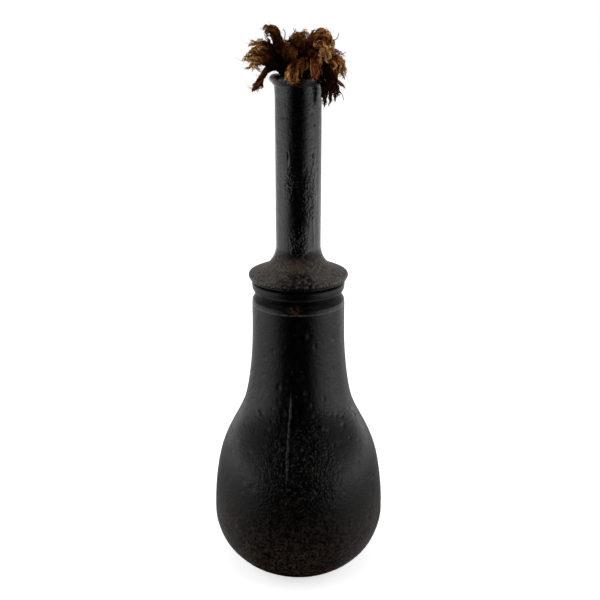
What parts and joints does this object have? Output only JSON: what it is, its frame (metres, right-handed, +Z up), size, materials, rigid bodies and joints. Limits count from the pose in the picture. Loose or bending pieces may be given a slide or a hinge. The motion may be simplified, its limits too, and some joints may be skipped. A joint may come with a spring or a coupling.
{
  "type": "railroad torch",
  "caption": "Cast-iron oil torch: pear-shaped font with a flat foot, screw-in burner with an upright wick tube and rolled lip, and a frayed bundle of cotton wick yarns.",
  "frame": {"origin": "centre of the flat foot that the torch stands on", "axes": "+Z up along the wick tube, -Y towards the picture's camera, +X to its right"},
  "size_m": [0.0764, 0.0764, 0.2368],
  "materials": {
    "font_iron": "matt black over rough, pitted cast iron, with brown rust low down",
    "burner_iron": "semi-gloss black paint over cast iron, with an orange-peel surface and small scars",
    "washer_leather": "oil-soaked black-brown leather, matt",
    "wick_cotton": "oil-stained cotton yarn, near black at the roots and tan at the frayed ends"
  },
  "bodies": {
    "font": {"font": "font_iron"},
    "washer": {"washer": "washer_leather"},
    "burner": {"burner": "burner_iron"},
    "wick": {"wick_yarn_1": "wick_cotton", "wick_yarn_2": "wick_cotton", "wick_yarn_3": "wick_cotton", "wick_yarn_4": "wick_cotton", "wick_yarn_5": "wick_cotton", "wick_yarn_6": "wick_cotton", "wick_yarn_7": "wick_cotton", "wick_yarn_8": "wick_cotton", "wick_yarn_9": "wick_cotton", "wick_yarn_10": "wick_cotton", "wick_yarn_11": "wick_cotton", "wick_yarn_12": "wick_cotton", "wick_yarn_13": "wick_cotton", "wick_yarn_14": "wick_cotton", "wick_yarn_15": "wick_cotton", "wick_yarn_16": "wick_cotton", "wick_yarn_17": "wick_cotton", "wick_yarn_18": "wick_cotton", "wick_yarn_19": "wick_cotton"}
  },
  "joints": [
    {"name": "burner_rise", "type": "slide", "parent": "font", "child": "washer", "axis": [0, 0, 1], "range_m": [0, 0.0112]},
    {"name": "burner_turn", "type": "hinge", "parent": "washer", "child": "burner", "pos_m": [0, 0, 0.1328], "axis": [0, 0, 1], "range_deg": [0, 1260]},
    {"name": "wick_feed", "type": "slide", "parent": "burner", "child": "wick", "axis": [0, 0, 1], "range_m": [0, 0.015]}
  ],
  "couplings": [
    {"joint": "burner_turn", "follows": "burner_rise", "rad_per_m": 1963.5}
  ]
}
